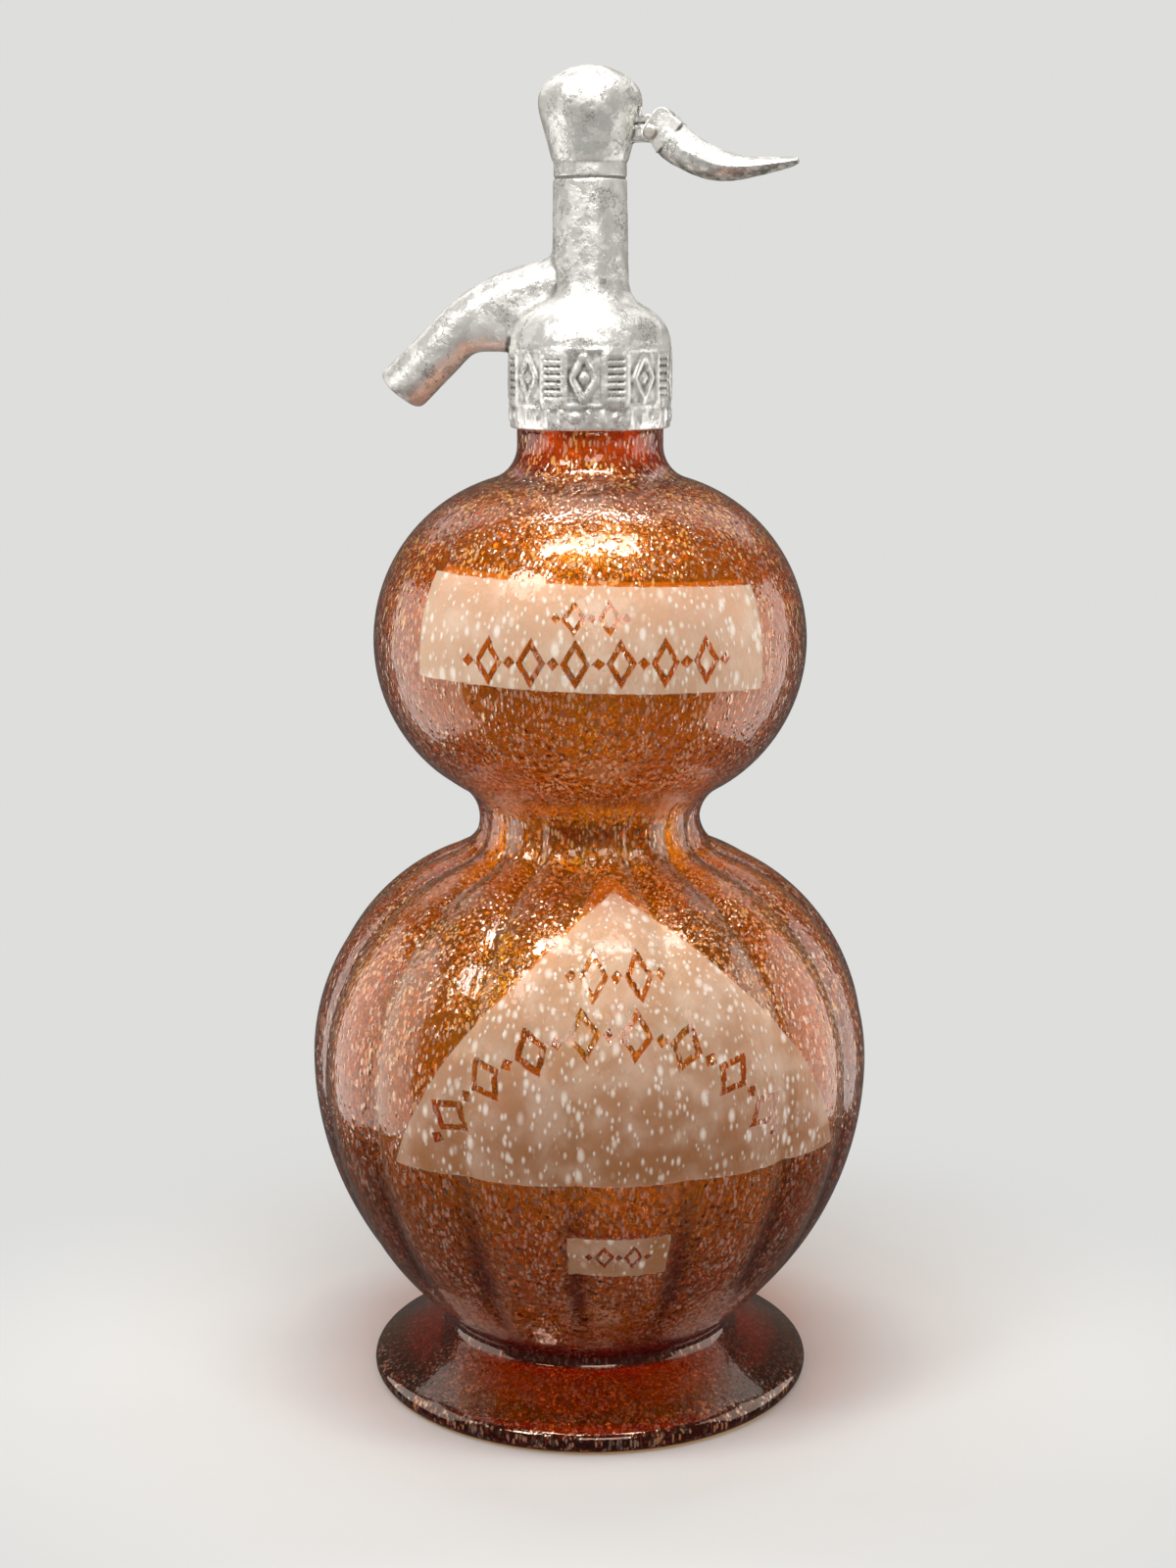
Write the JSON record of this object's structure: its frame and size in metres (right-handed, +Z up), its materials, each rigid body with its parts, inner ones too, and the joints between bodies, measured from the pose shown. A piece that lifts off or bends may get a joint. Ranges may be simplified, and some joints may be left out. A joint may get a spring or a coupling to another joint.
{
  "type": "soda siphon",
  "caption": "Double-bulb amber glass soda siphon with a cast tin head, curved spout and a horn-shaped lever that lifts a sprung valve stem.",
  "frame": {"origin": "centre of the foot's underside, on the table", "axes": "+Z up along the bottle, +X towards the lever's free end, -X towards the spout"},
  "size_m": [0.1512, 0.1512, 0.3526],
  "materials": {
    "amber_glass": "blown, seeded, with etched panels",
    "clear_glass": "drawn tube",
    "cast_tin": "worn cast tin, satin",
    "brass": "turned",
    "rubber": "moulded",
    "spring_steel": "drawn wire",
    "seam_washer": "pressed fibre, dark",
    "pin_steel": "peened"
  },
  "bodies": {
    "siphon": {"glass_bottle": "amber_glass", "neck_ring_front": "brass", "neck_ring_rear": "brass", "lip_gasket": "rubber", "head_body": "cast_tin", "dip_tube": "clear_glass", "tube_bush": "rubber", "tube_nut": "brass", "valve_seat": "brass", "stem_guide": "brass", "stem_packing": "rubber", "packing_nut": "brass", "return_spring": "spring_steel", "cap_washer": "seam_washer", "cap": "cast_tin", "lever_pin": "pin_steel"},
    "plunger": {"plunger_stem": "brass", "valve_washer": "rubber", "washer_screw": "brass", "lift_collar": "brass", "collar_locknut": "brass"},
    "lever": {"lever": "cast_tin"}
  },
  "joints": [
    {"name": "lever_press", "type": "hinge", "parent": "siphon", "child": "lever", "pos_m": [0.0163, 0, 0.3354], "axis": [0, 1, 0], "range_deg": [0, 14], "stiffness_Nm_per_rad": 0.122, "springref_deg": -37.09},
    {"name": "plunger_lift", "type": "slide", "parent": "siphon", "child": "plunger", "axis": [0, 0, 1], "range_m": [0, 0.0031], "deforming": ["return_spring"]}
  ],
  "couplings": [
    {"joint": "plunger_lift", "follows": "lever_press", "m_per_rad": 0.012356}
  ]
}
